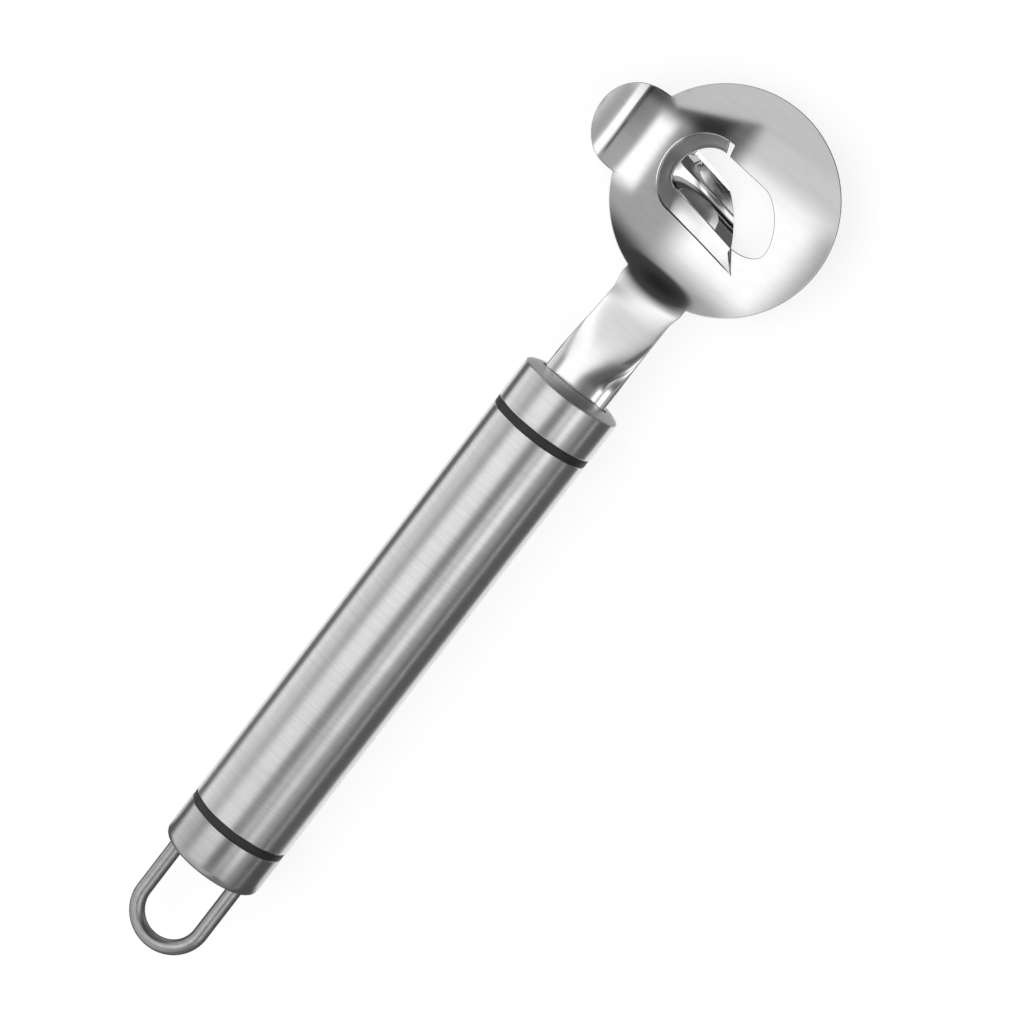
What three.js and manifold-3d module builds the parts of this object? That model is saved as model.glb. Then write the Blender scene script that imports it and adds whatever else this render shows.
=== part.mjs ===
// Hand-held pasta cutter: a pressed steel head with a gouge blade, on a round steel handle with a wire loop.
// Millimetres, +Z up. The handle lies along X with the head at +X and the tongue of the head at +Y.
// Every shape is worked out on the handle's axis; the last lines shift the tool so that it lies on Z = 0
// with the middle of its plan at the origin.
import * as THREE from 'three';
import { mergeVertices } from 'three/addons/utils/BufferGeometryUtils.js';
import Module from 'manifold-3d';

const wasm = await Module();
wasm.setup();

// Handle
const tubeRadius = 11;
const tubeWall = 0.6;
const tubeLength = 98.6;
const ringWidth = 1.7;
const capLength = 9.1;
const capWall = 0.6;
const capEndWall = 1.4;
const domeHeight = 1.6;
const flatRecess = 1.05;
const flatMargin = 1.1;
const rearEdgeRadius = 1.9;

// Cores, pins and retainers inside the handle
const coreFit = 0.3;
const coreTail = 6;
const pinRadius = 1.5;
const pinFit = 0.2;
const pinEndGap = 0.4;
const frontPinDepth = 9;
const rearPinInset = 6;

// Wire loop
const wireRadius = 1.6;
const legInset = 2.8;
const loopReach = 21.9;
const legDepth = 15;
const legFit = 0.2;
const retainerRadius = 2.3;
const retainerThickness = 0.6;
const retainerFit = 0.12;
const retainerGap = 0.2;

// Head pressing
const sheet = 0.9;
const discRadius = 22.7;
const bowlRadius = 60;
const bowlDepth = 4.7;
const neckLength = 23.25;
const discAside = -0.95;
const neckWidth = 14.5;
const neckWaist = 13.3;
const neckRootWidth = 14.5;
const neckWaistPlace = 0.8;
const neckFlareStart = 0.85;
const neckDrift = 0.7;
const neckRise = 0.9;
const neckArch = 3.2;
const neckArchMargin = 0.3;
const neckBend = 1.4;
const neckBlend = 4;
const neckSpread = 5;
const neckOverlap = 3;
const tangWidth = 10;
const tangLength = 28;
const tangFit = 0.4;
const neckFit = 0.5;
const shoulderGap = 0.15;

// Tongue beside the bowl
const tongueRadius = 9.2;
const tongueFlare = 0.3;
const tongueAside = 0.3;
const tongueInset = 0.7;
const tongueBendStart = 20.5;
const tongueCrown = 10.5;
const tongueRoot = 15;
const tongueBlend = 6;
const tongueNeckSideBlend = 8;
const tongueFarSideBlend = 3;

// Cutting slot: corner points of its lowered lip and of its hole, from the middle of the disc
const lipSink = 0.5;
const lipDrop = 0.8;
const lipLap = 0.4;
const lipRoot = 0.3;
const slitWidth = 0.4;
const slitStart = new THREE.Vector2(6.95, 4.85);
const slitEnd = new THREE.Vector2(-11.15, -9.75);
const notchEnd = new THREE.Vector2(9.35, 6.75);
const notchWidth = 1.4;
const slotTop = new THREE.Vector2(0.45, 14.95);
const slotShoulder = new THREE.Vector2(-8.75, 7.85);
const holeNotch = new THREE.Vector2(7.05, 5.85);
const holeTop = new THREE.Vector2(-0.65, 11.95);
const holeShoulder = new THREE.Vector2(-4.45, 9.45);
const holeSlit = new THREE.Vector2(-7, -6.4);
const holeFoot = new THREE.Vector2(-3.75, -12.15);
const holeSide = new THREE.Vector2(6.25, -3.95);
const roundCorner = 0.55;
const slackCorner = 0.43;

// Gouge blade
const bladeSheet = 0.8;
const bladeGap = 0.3;
const bladeHalfWidth = 4.4;
const bladeLap = 0.65;
const bladeHeelBow = 0.09;
const bladeRamp = 14;
const bevelLength = 1.4;
const edgeThickness = 0.15;

// Fineness of the facets
const roundSides = 48;
const smallSides = 16;
const neckRows = 10;
const discRows = 36;
const sideColumns = 9;
const edgeColumns = 6;
const edgeBand = 1.7;
const neckColumns = 8;
const tongueColumns = 13;
const slotSteps = 16;
const trim = 1;
const bowlOverrun = 10;
const curvePoints = 9;
const bladeColumns = 14;
const bladeRows = 9;
const bladeRowCrowding = 1.4;
const loopSteps = 46;

// Places along the handle, from its middle
const coreRadius = tubeRadius - tubeWall - coreFit;
const loopHalfSpan = coreRadius - legInset;
const discAhead = neckLength + discRadius;
const tongueCentre = new THREE.Vector2(tongueAside, discRadius - tongueInset);
const tubeEnd = tubeLength / 2;
const capStart = tubeEnd + ringWidth;
const capCylinderEnd = capStart + capLength;
const capFace = capCylinderEnd + domeHeight;
const capFloor = capCylinderEnd - capEndWall;
const coreFace = capFloor - coreFit;
const shoulderX = coreFace + shoulderGap;
const discX = capFace + discAhead;
const neckShoulder = shoulderX - discX;
const tangEnd = neckShoulder - tangLength;
const rimHeight = sheet / 2;
const bladeRim = bowlHeight(holeNotch.length()) - lipDrop - sheet - bladeGap;
const bladeDepth = tubeRadius + bladeRim - bladeSheet;
const cutHeight = 6 * tubeRadius;

const satinSteel = { color: 0xb4b6b8, roughness: 0.38, metalness: 1 };
const polishedSteel = { color: 0xc6c8ca, roughness: 0.16, metalness: 1 };
const blackRubber = { color: 0x2c2c2d, roughness: 0.75, metalness: 0 };
const whitePlastic = { color: 0xd9d8d2, roughness: 0.6, metalness: 0 };

// Solids and booleans

function toSolid(geometry) {
  const bare = geometry.clone();
  bare.deleteAttribute('normal');
  bare.deleteAttribute('uv');
  const merged = mergeVertices(bare, 1e-4);
  return new wasm.Manifold(new wasm.Mesh({
    numProp: 3,
    vertProperties: new Float32Array(merged.attributes.position.array),
    triVerts: new Uint32Array(merged.index.array),
  }));
}

function toGeometry(solid) {
  const mesh = solid.getMesh();
  const geometry = new THREE.BufferGeometry();
  geometry.setAttribute('position', new THREE.BufferAttribute(new Float32Array(mesh.vertProperties), 3));
  geometry.setIndex(new THREE.BufferAttribute(new Uint32Array(mesh.triVerts), 1));
  geometry.computeVertexNormals();
  return geometry;
}

// A revolved solid about X: the profile is a list of [x, radius], counter-clockwise.
function revolved(profile, sides = roundSides) {
  const points = profile.map(([x, radius]) => new THREE.Vector2(radius, x));
  return toSolid(new THREE.LatheGeometry(points, sides).rotateZ(-Math.PI / 2));
}

// A prism along Z through an outline, tall enough to cut the whole tool.
function prism(outline, bottom = -cutHeight / 2, height = cutHeight) {
  const shape = new THREE.Shape(outline);
  const geometry = new THREE.ExtrudeGeometry(shape, { depth: height, bevelEnabled: false });
  return toSolid(geometry.translate(0, 0, bottom));
}

function rod(radius, from, to, sides = smallSides) {
  const start = new THREE.Vector3(...from);
  const along = new THREE.Vector3(...to).sub(start);
  const geometry = new THREE.CylinderGeometry(radius, radius, along.length(), sides);
  geometry.translate(0, along.length() / 2, 0);
  const upright = new THREE.Vector3(0, 1, 0);
  const turn = new THREE.Quaternion().setFromUnitVectors(upright, along.clone().normalize());
  return toSolid(geometry.applyQuaternion(turn).translate(start.x, start.y, start.z));
}

// A closed skin over a grid of points: upper and lower are functions of row and column that give points.
function gridSolid(rows, columns, upper, lower) {
  const positions = [];
  for (const side of [upper, lower]) {
    for (let i = 0; i <= rows; i += 1) {
      for (let j = 0; j <= columns; j += 1) {
        positions.push(...side(i, j));
      }
    }
  }
  const below = (rows + 1) * (columns + 1);
  const at = (i, j) => i * (columns + 1) + j;
  const faces = [];
  for (let i = 0; i < rows; i += 1) {
    for (let j = 0; j < columns; j += 1) {
      const [a, b, c, d] = [at(i, j), at(i + 1, j), at(i + 1, j + 1), at(i, j + 1)];
      faces.push(a, b, c, a, c, d);
      faces.push(a + below, c + below, b + below, a + below, d + below, c + below);
    }
  }
  const rim = [];
  for (let i = 0; i < rows; i += 1) rim.push(at(i, 0));
  for (let j = 0; j < columns; j += 1) rim.push(at(rows, j));
  for (let i = rows; i > 0; i -= 1) rim.push(at(i, columns));
  for (let j = columns; j > 0; j -= 1) rim.push(at(0, j));
  rim.forEach((a, k) => {
    const b = rim[(k + 1) % rim.length];
    faces.push(a, a + below, b + below, a, b + below, b);
  });
  const geometry = new THREE.BufferGeometry();
  geometry.setAttribute('position', new THREE.Float32BufferAttribute(positions, 3));
  geometry.setIndex(faces);
  return toSolid(geometry);
}

// Handle pieces

function cupProfile(outerEnd) {
  const inner = tubeRadius - capWall;
  return [[capFloor, 0], [capFloor, inner], [capStart, inner], [capStart, tubeRadius], ...outerEnd];
}

function frontCap() {
  const dome = [];
  for (let k = 0; k <= curvePoints; k += 1) {
    const angle = (k / curvePoints) * Math.PI / 2;
    dome.push([capCylinderEnd + domeHeight * Math.sin(angle), tubeRadius * Math.cos(angle)]);
  }
  dome[curvePoints][1] = 0;
  let cap = revolved(cupProfile(dome));
  const slotHalf = sheet / 2 + tangFit;
  for (const side of [1, -1]) {
    const flat = [
      [capFace, side * slotHalf],
      [capFace - flatRecess, side * (tubeRadius - flatMargin)],
      [capFace - flatRecess, side * (tubeRadius + domeHeight)],
      [capFace + domeHeight, side * (tubeRadius + domeHeight)],
      [capFace + domeHeight, side * slotHalf],
    ].map(([x, z]) => new THREE.Vector2(x, z));
    const wedge = new THREE.ExtrudeGeometry(new THREE.Shape(flat), { depth: cutHeight, bevelEnabled: false });
    cap = cap.subtract(toSolid(wedge.translate(0, 0, -cutHeight / 2).rotateX(Math.PI / 2)));
  }
  return cap.subtract(archedSlot(coreFace, neckWidth / 2 + neckFit));
}

// An arched opening for the pressing's sheet, from one place on the axis out through the cap's end.
function archedSlot(from, half) {
  const across = spaced(-half, half, slotSteps);
  const top = across.map((y) => new THREE.Vector2(y, neckHeight(y, neckWidth / 2) + tangFit));
  const foot = across.map((y) => new THREE.Vector2(y, neckHeight(y, neckWidth / 2) - sheet - tangFit));
  const shape = new THREE.Shape([...foot, ...top.reverse()]);
  const depth = capFace + domeHeight - from;
  const geometry = new THREE.ExtrudeGeometry(shape, { depth, bevelEnabled: false });
  return toSolid(geometry.rotateX(Math.PI / 2).rotateZ(Math.PI / 2).translate(from, 0, 0));
}

function pinPlaces() {
  return [shoulderX - frontPinDepth, shoulderX - tangLength + rearPinInset];
}

function tangPin(x) {
  const half = Math.sqrt(coreRadius ** 2 - pinRadius ** 2) - pinEndGap;
  return rod(pinRadius, [x, 0, -half], [x, 0, half]);
}

function pinHole(x) {
  return rod(pinRadius + pinFit, [x, 0, -cutHeight / 2], [x, 0, cutHeight / 2]);
}

function frontCore() {
  const from = shoulderX - tangLength - coreTail;
  let core = revolved([[from, 0], [from, coreRadius], [coreFace, coreRadius], [coreFace, 0]]);
  core = core.subtract(archedSlot(shoulderX - tangLength - tangFit, tangWidth / 2 + tangFit));
  for (const x of pinPlaces()) core = core.subtract(pinHole(x));
  return core;
}

function ringAt(x) {
  const inner = coreRadius + coreFit;
  const end = x + ringWidth;
  return revolved([[x, inner], [x, tubeRadius], [end, tubeRadius], [end, inner], [x, inner]]);
}

function handleTube() {
  const inner = tubeRadius - tubeWall;
  return revolved([
    [-tubeEnd, inner], [-tubeEnd, tubeRadius], [tubeEnd, tubeRadius], [tubeEnd, inner], [-tubeEnd, inner],
  ]);
}

function rearCap() {
  const edge = [];
  for (let k = 0; k <= curvePoints; k += 1) {
    const angle = (k / curvePoints) * Math.PI / 2;
    edge.push([
      capCylinderEnd - rearEdgeRadius * (1 - Math.sin(angle)),
      tubeRadius - rearEdgeRadius * (1 - Math.cos(angle)),
    ]);
  }
  edge.push([capCylinderEnd, 0]);
  let cap = revolved(cupProfile(edge).map(([x, radius]) => [-x, radius]).reverse());
  for (const side of [1, -1]) cap = cap.subtract(legHole(side));
  return cap;
}

function legHole(side) {
  const y = side * loopHalfSpan;
  const bottom = -capCylinderEnd + legDepth + legFit;
  return rod(wireRadius + legFit, [-capCylinderEnd - loopReach, y, 0], [bottom, y, 0]);
}

function retainerSpan() {
  const outer = -capFloor + retainerGap;
  return [outer, outer + retainerThickness];
}

function retainer(side) {
  const [x0, x1] = retainerSpan();
  const inner = wireRadius + retainerFit;
  const ring = revolved(
    [[x0, inner], [x0, retainerRadius], [x1, retainerRadius], [x1, inner], [x0, inner]],
    smallSides,
  );
  return ring.translate([0, side * loopHalfSpan, 0]);
}

function rearCore() {
  const from = -capFloor + coreFit;
  const to = -capCylinderEnd + legDepth + coreTail;
  let core = revolved([[from, 0], [from, coreRadius], [to, coreRadius], [to, 0]]);
  const pocketFloor = retainerSpan()[1] + retainerGap;
  for (const side of [1, -1]) {
    const y = side * loopHalfSpan;
    core = core.subtract(legHole(side));
    core = core.subtract(rod(retainerRadius + legFit, [-capFace, y, 0], [pocketFloor, y, 0], smallSides));
  }
  return core;
}

function hangingLoop() {
  const bowX = -capCylinderEnd - loopReach + wireRadius + loopHalfSpan;
  const legEnd = -capCylinderEnd + legDepth;
  const bowTop = new THREE.Vector3(bowX, loopHalfSpan, 0);
  const bowFoot = new THREE.Vector3(bowX, -loopHalfSpan, 0);
  class Bow extends THREE.Curve {
    getPoint(t, target = new THREE.Vector3()) {
      const angle = Math.PI / 2 + t * Math.PI;
      return target.set(bowX + loopHalfSpan * Math.cos(angle), loopHalfSpan * Math.sin(angle), 0);
    }
  }
  const path = new THREE.CurvePath();
  path.add(new THREE.LineCurve3(new THREE.Vector3(legEnd, loopHalfSpan, 0), bowTop));
  path.add(new Bow());
  path.add(new THREE.LineCurve3(bowFoot, new THREE.Vector3(legEnd, -loopHalfSpan, 0)));
  const section = new THREE.Shape().absarc(0, 0, wireRadius, 0, 2 * Math.PI);
  return toSolid(new THREE.ExtrudeGeometry(section, {
    steps: loopSteps, curveSegments: smallSides * 3 / 8, extrudePath: path, bevelEnabled: false,
  }));
}

// Head pressing, worked out on the disc's own centre

function smoothstep(x, from, to) {
  return THREE.MathUtils.smoothstep(x, from, to);
}

function bowlHeight(radius) {
  return rimHeight - bowlDepth + bowlRadius - Math.sqrt(bowlRadius ** 2 - radius ** 2);
}

// Share of the neck's length at a place along X: 0 at the cap's end, 1 at its root on the disc.
function alongNeck(x) {
  return THREE.MathUtils.clamp((x + discAhead) / neckLength, 0, 1);
}

// Half the neck's width, from the cap's end through the waist to its root on the disc.
function neckHalf(x) {
  const along = alongNeck(x);
  const straight = THREE.MathUtils.lerp(neckWidth, neckWaist, smoothstep(along, 0, neckWaistPlace));
  const flare = (neckRootWidth - neckWaist) * smoothstep(along, neckFlareStart, 1);
  return (straight + flare) / 2;
}

// The neck's middle line leaves the handle's axis and drifts towards the disc's middle.
function neckMiddle(x) {
  return -discAside - neckDrift * smoothstep(alongNeck(x), 0, neckWaistPlace);
}

// Height of the arched neck's upper face, from the distance to its middle line and half its width.
function neckHeight(aside, half) {
  const across = Math.min(1, Math.abs(aside) / (half + neckArchMargin));
  return rimHeight + neckRise - neckArch * (1 - Math.sqrt(1 - across ** 2));
}

// The lower of two heights, rounded where they cross.
function rounded(a, b, radius) {
  const near = Math.max(0, radius - Math.abs(a - b)) / radius;
  return Math.min(a, b) - radius * near ** 2 / 4;
}

// Height of the tongue along Y: it leaves the bowl and bends over a round crown down to the tip.
function tongueHeight(y) {
  const start = Math.asin(tongueBendStart / bowlRadius);
  const past = Math.max(0, y - tongueBendStart);
  const turn = Math.asin(Math.max(-1, Math.sin(start) - past / tongueCrown));
  return bowlHeight(Math.min(y, tongueBendStart)) + tongueCrown * (Math.cos(turn) - Math.cos(start));
}

// Height of the pressing's upper face over its plan: bowl, arched neck and tongue.
function pressHeight(x, y) {
  const dish = bowlHeight(Math.min(Math.hypot(x, y), discRadius + bowlOverrun));
  const onNeck = smoothstep(-x, discRadius - neckBlend, discRadius);
  const spread = neckSpread * smoothstep(x, -discRadius - neckBlend, -discRadius + neckBlend);
  const bent = rounded(dish, neckHeight(y - neckMiddle(x), neckHalf(x) + spread), neckBend);
  const sideBlend = x < tongueCentre.x ? tongueNeckSideBlend : tongueFarSideBlend;
  const inTongue = smoothstep(y, tongueRoot, tongueRoot + tongueBlend)
    * (1 - smoothstep(Math.abs(x - tongueCentre.x), tongueRadius, tongueRadius + sideBlend));
  return THREE.MathUtils.lerp(THREE.MathUtils.lerp(dish, bent, onNeck), tongueHeight(y), inTongue);
}

function discOutline() {
  const circle = new THREE.Shape().absarc(0, 0, discRadius, 0, 2 * Math.PI);
  return circle.getSpacedPoints(2 * roundSides).slice(0, -1);
}

function tongueOutline() {
  const { x, y } = tongueCentre;
  const shape = new THREE.Shape();
  shape.moveTo(x - tongueRadius - tongueFlare, y - tongueRadius);
  shape.lineTo(x + tongueRadius + tongueFlare, y - tongueRadius);
  shape.lineTo(x + tongueRadius, y);
  shape.absarc(x, y, tongueRadius, 0, Math.PI);
  return shape.getPoints(roundSides / 2);
}

function neckOutline() {
  const side = pressAlong().filter((x) => x > tangEnd && x < neckOverlap - discRadius);
  const lower = side.map((x) => new THREE.Vector2(x, neckMiddle(x) - neckHalf(x)));
  const upper = side.map((x) => new THREE.Vector2(x, neckMiddle(x) + neckHalf(x))).reverse();
  const tang = [
    new THREE.Vector2(neckShoulder, -discAside + tangWidth / 2),
    new THREE.Vector2(tangEnd, -discAside + tangWidth / 2),
    new THREE.Vector2(tangEnd, -discAside - tangWidth / 2),
    new THREE.Vector2(neckShoulder, -discAside - tangWidth / 2),
  ];
  return [...lower, ...upper, ...tang];
}

// A rounded corner from a point where the edge runs along Y to one where it runs along X.
function corner(upright, level, fullness = roundCorner) {
  const first = new THREE.Vector2(upright.x, THREE.MathUtils.lerp(upright.y, level.y, fullness));
  const second = new THREE.Vector2(THREE.MathUtils.lerp(level.x, upright.x, fullness), level.y);
  return new THREE.CubicBezierCurve(upright, first, second, level);
}

function backwards(curve) {
  return new THREE.CubicBezierCurve(curve.v3, curve.v2, curve.v1, curve.v0);
}

// The outer and inner edge of the lowered lip in four matching stretches, from the notch to the slit's end.
function lipEdges() {
  const side = new THREE.Line3(
    new THREE.Vector3(slotShoulder.x, slotShoulder.y, 0),
    new THREE.Vector3(slitEnd.x, slitEnd.y, 0),
  );
  const share = side.closestPointToPointParameter(new THREE.Vector3(holeSlit.x, holeSlit.y, 0), true);
  const besideSlit = slotShoulder.clone().lerp(slitEnd, share);
  const outer = [
    corner(notchEnd, slotTop),
    backwards(corner(slotShoulder, slotTop)),
    new THREE.LineCurve(slotShoulder, besideSlit),
    new THREE.LineCurve(besideSlit, slitEnd),
  ];
  const inner = [
    corner(holeNotch, holeTop),
    backwards(corner(holeShoulder, holeTop)),
    new THREE.LineCurve(holeShoulder, holeSlit),
    new THREE.LineCurve(holeSlit, slitEnd),
  ];
  return { outer, inner };
}

function sampled(curves) {
  return curves.flatMap((curve, k) => curve.getPoints(curvePoints).slice(k === 0 ? 0 : 1));
}

function slotOutline() {
  const notchFoot = new THREE.Vector2(notchEnd.x, notchEnd.y - notchWidth);
  return [...sampled(lipEdges().outer), slitStart, notchFoot];
}

function holeOutline() {
  const foot = [
    corner(holeSlit, holeFoot),
    backwards(corner(holeSide, holeFoot, slackCorner)),
    new THREE.LineCurve(holeSide, slitStart),
    new THREE.LineCurve(slitStart, holeNotch),
  ];
  return [...sampled(lipEdges().inner.slice(0, 3)), ...sampled(foot).slice(1, -1)];
}

// The lowered lip: a strip that follows the bowl a step lower, from inside its sheet to the edge of the hole.
function lip() {
  const { outer, inner } = lipEdges();
  const outerPoints = sampled(outer);
  const innerPoints = sampled(inner);
  const last = outerPoints.length - 1;
  const slitRun = slitEnd.clone().sub(slitStart).normalize();
  const offSlit = new THREE.Vector2(slitRun.y, -slitRun.x).multiplyScalar(slitWidth);
  const stations = outerPoints.map((edge, k) => {
    const run = outerPoints[Math.min(last, k + 1)].clone().sub(outerPoints[Math.max(0, k - 1)]).normalize();
    const buried = edge.clone().addScaledVector(new THREE.Vector2(run.y, -run.x), lipLap);
    const alongSlit = Math.max(0, k - last + curvePoints) / curvePoints;
    const foot = innerPoints[k].clone();
    if (k >= last - curvePoints) foot.add(offSlit);
    return { buried, foot, drop: THREE.MathUtils.lerp(lipDrop, lipSink, alongSlit) };
  });
  const point = (k, column, thick) => {
    const { buried, foot, drop } = stations[k];
    const place = buried.clone().lerp(foot, column / 2);
    const height = pressHeight(place.x, place.y) - THREE.MathUtils.lerp(lipSink, drop, column / 2);
    return [place.x, place.y, height - (column === 0 ? Math.min(thick, lipRoot) : thick)];
  };
  return gridSolid(last, 2, (k, c) => point(k, c, 0), (k, c) => point(k, c, sheet));
}

// Evenly spaced values from one end to the other.
function spaced(from, to, steps) {
  return Array.from({ length: steps + 1 }, (_, k) => THREE.MathUtils.lerp(from, to, k / steps));
}

// Rows of the pressing's grid along X, with one long step for the straight tang.
function pressAlong() {
  const neckFoot = -discRadius - neckBlend;
  return [
    tangEnd - trim,
    ...spaced(neckShoulder, neckFoot, neckRows),
    ...spaced(neckFoot, discRadius + trim, discRows).slice(1),
  ];
}

// Columns of the grid across Y at one row: they follow the neck's sides, finest where these turn down.
function pressAcross(x) {
  const outside = neckHalf(x) + trim;
  const inside = neckHalf(x) - edgeBand;
  const axis = neckMiddle(x);
  return [
    ...spaced(-discRadius - trim, axis - outside, sideColumns),
    ...spaced(axis - outside, axis - inside, edgeColumns).slice(1),
    ...spaced(axis - inside, axis + inside, neckColumns).slice(1),
    ...spaced(axis + inside, axis + outside, edgeColumns).slice(1),
    ...spaced(axis + outside, tongueCentre.y + tongueRadius + trim, tongueColumns).slice(1),
  ];
}

function cutterHead() {
  const upper = pressAlong().map((x) => pressAcross(x).map((y) => [x, y, pressHeight(x, y)]));
  const under = ([x, y, z]) => [x, y, z - sheet];
  const [rows, columns] = [upper.length - 1, upper[0].length - 1];
  const slab = gridSolid(rows, columns, (i, j) => upper[i][j], (i, j) => under(upper[i][j]));
  const blank = prism(discOutline()).add(prism(tongueOutline())).add(prism(neckOutline()));
  const opened = slab.intersect(blank).subtract(prism(slotOutline())).subtract(prism(holeOutline()));
  let pressing = opened.add(lip());
  for (const x of pinPlaces()) pressing = pressing.subtract(pinHole(x).translate([-discX, -discAside, 0]));
  return pressing;
}

// Gouge blade: a trough that rises to the lip at its closed end and is cut along the slit at its open end.
// It runs along the lip's straight inner edge, and s and t are measured across it and along it.
function cuttingBlade() {
  const along = holeSlit.clone().sub(holeShoulder).normalize();
  const aside = new THREE.Vector2(-along.y, along.x);
  const centre = holeSlit.dot(aside) - bladeLap + bladeHalfWidth;
  const slitRun = slitEnd.clone().sub(slitStart);
  const closedEnd = (s) => -holeTop.y - bladeLap + bladeHeelBow * (s - centre) ** 2;
  const cutEnd = (s) => slitStart.clone().addScaledVector(aside, -s).cross(slitRun) / along.cross(slitRun);
  const point = (i, j, lower) => {
    const angle = Math.PI * (j / bladeColumns);
    const over = -Math.cos(angle);
    const s = centre + bladeHalfWidth * over;
    const length = cutEnd(s) - closedEnd(s);
    const t = i > bladeRows ? length : (length - bevelLength) * (i / bladeRows) ** bladeRowCrowding;
    const thick = i > bladeRows ? edgeThickness : bladeSheet;
    const spread = lower ? centre + (bladeHalfWidth + thick) * over : s;
    const levelness = Math.max(0, 1 - t / bladeRamp);
    const depth = bladeDepth * (1 - levelness ** 2) + (lower ? thick : 0);
    const place = along.clone().multiplyScalar(closedEnd(s) + t).addScaledVector(aside, spread);
    return [place.x, place.y, bladeRim - depth * Math.sin(angle)];
  };
  return gridSolid(bladeRows + 1, bladeColumns, (i, j) => point(i, j, false), (i, j) => point(i, j, true));
}

// Assembly

function node(name, solid, finish) {
  const mesh = new THREE.Mesh(toGeometry(solid), new THREE.MeshStandardMaterial(finish));
  mesh.name = name;
  return mesh;
}

const [frontPinX, rearPinX] = pinPlaces();

const head = new THREE.Group();
head.position.set(discX, discAside, 0);
head.add(
  node('cutter_head', cutterHead(), polishedSteel),
  node('cutting_blade', cuttingBlade(), polishedSteel),
);

const handle = new THREE.Group();
handle.add(
  node('front_cap', frontCap(), satinSteel),
  node('front_ring', ringAt(tubeEnd), blackRubber),
  node('handle_tube', handleTube(), satinSteel),
  node('rear_ring', ringAt(-capStart), blackRubber),
  node('rear_cap', rearCap(), satinSteel),
  node('hanging_loop', hangingLoop(), satinSteel),
  node('front_core', frontCore(), whitePlastic),
  node('rear_core', rearCore(), whitePlastic),
  node('tang_pin_front', tangPin(frontPinX), satinSteel),
  node('tang_pin_rear', tangPin(rearPinX), satinSteel),
  node('loop_retainer_left', retainer(1), satinSteel),
  node('loop_retainer_right', retainer(-1), satinSteel),
);

const reach = { rear: -capCylinderEnd - loopReach, front: discX + discRadius };
const sides = { near: discAside - discRadius, far: discAside + tongueCentre.y + tongueRadius };
const tool = new THREE.Group();
tool.add(head, handle);
tool.position.set(-(reach.rear + reach.front) / 2, -(sides.near + sides.far) / 2, tubeRadius);

export default tool;
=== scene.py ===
"""Looks of a hand-held pasta cutter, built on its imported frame. Metres, +Z up.

The handle lies along X with the head at +X and the tongue of the head at +Y.
"""

import math

import bpy
from mathutils import Matrix, Vector


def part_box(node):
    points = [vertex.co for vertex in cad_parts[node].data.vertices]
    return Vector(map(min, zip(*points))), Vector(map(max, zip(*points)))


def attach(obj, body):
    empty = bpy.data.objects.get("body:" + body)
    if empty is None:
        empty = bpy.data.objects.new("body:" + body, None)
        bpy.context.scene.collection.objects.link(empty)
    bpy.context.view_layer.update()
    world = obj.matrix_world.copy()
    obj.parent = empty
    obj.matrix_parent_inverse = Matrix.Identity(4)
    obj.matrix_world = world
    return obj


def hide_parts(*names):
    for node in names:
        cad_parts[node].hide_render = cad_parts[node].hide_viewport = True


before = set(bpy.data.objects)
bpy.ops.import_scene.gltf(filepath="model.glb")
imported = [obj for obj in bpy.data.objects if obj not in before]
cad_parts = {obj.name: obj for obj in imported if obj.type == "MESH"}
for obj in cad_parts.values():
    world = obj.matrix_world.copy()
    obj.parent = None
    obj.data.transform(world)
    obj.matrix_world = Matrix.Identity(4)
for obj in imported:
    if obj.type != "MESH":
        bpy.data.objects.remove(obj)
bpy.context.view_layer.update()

# Places that come from the frame
TUBE_LOW, TUBE_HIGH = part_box("handle_tube")
HEAD_LOW, HEAD_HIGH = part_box("cutter_head")
BLADE_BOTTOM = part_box("cutting_blade")[0].z
RADIUS = (TUBE_HIGH.z - TUBE_LOW.z) / 2
AXIS_Y = (TUBE_LOW.y + TUBE_HIGH.y) / 2
AXIS_Z = (TUBE_LOW.z + TUBE_HIGH.z) / 2

# Handle
WALL = 0.0006
CAP_END_WALL = 0.0014
EDGE = 0.00025
RING_RECESS = 0.0001
DOME = 0.0016
FLAT_RECESS = 0.00105
FRONT_TRIM = 0.0005
FLAT_MARGIN = 0.0011
REAR_EDGE = 0.0019
REAR_REACH = 0.0005
WIRE = 0.0016
LEG_FIT = 0.0002
CAP_CREASE = math.radians(35)

# Head pressing
SHEET = 0.0009
DISC_RADIUS = 0.0227
BOWL_RADIUS = 0.060
BOWL_DEPTH = 0.0047
NECK_LENGTH = 0.02325
NECK_WIDTH = 0.0145
NECK_WAIST = 0.0133
NECK_ROOT_WIDTH = 0.0145
NECK_WAIST_PLACE = 0.8
NECK_FLARE_START = 0.85
NECK_DRIFT = 0.0007
NECK_RISE = 0.0009
NECK_LIFT = 0.0015
NECK_ARCH = 0.0032
NECK_ROOT_ARCH = 0.0003
NECK_ARCH_MARGIN = 0.0003
NECK_ROUNDNESS = 2
NECK_ROOT_ROUNDNESS = 5
NECK_FLATTENS = (0.05, 0.7)
NECK_CROWN_ASIDE = 0.0013
NECK_DIP_SLOPE = 0.262
NECK_DIP_START = -0.0385
NECK_DIP_EVEN = -0.0235
NECK_TWIST = math.tan(math.radians(3.5))
NECK_TWIST_GROWS = (-0.043, -0.031)
NECK_TWIST_ENDS = (-0.030, -0.0235)
NECK_JOIN = (0.018, 0.0258)
NECK_SPREAD = 0.004
NECK_FIT = 0.0005
TANG_FIT = 0.0004
TANG_HALF = 0.005
TANG_LENGTH = 0.028
RIM_ROUND = 0.00016
DISH_REACH = 1.4 * DISC_RADIUS

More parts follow.
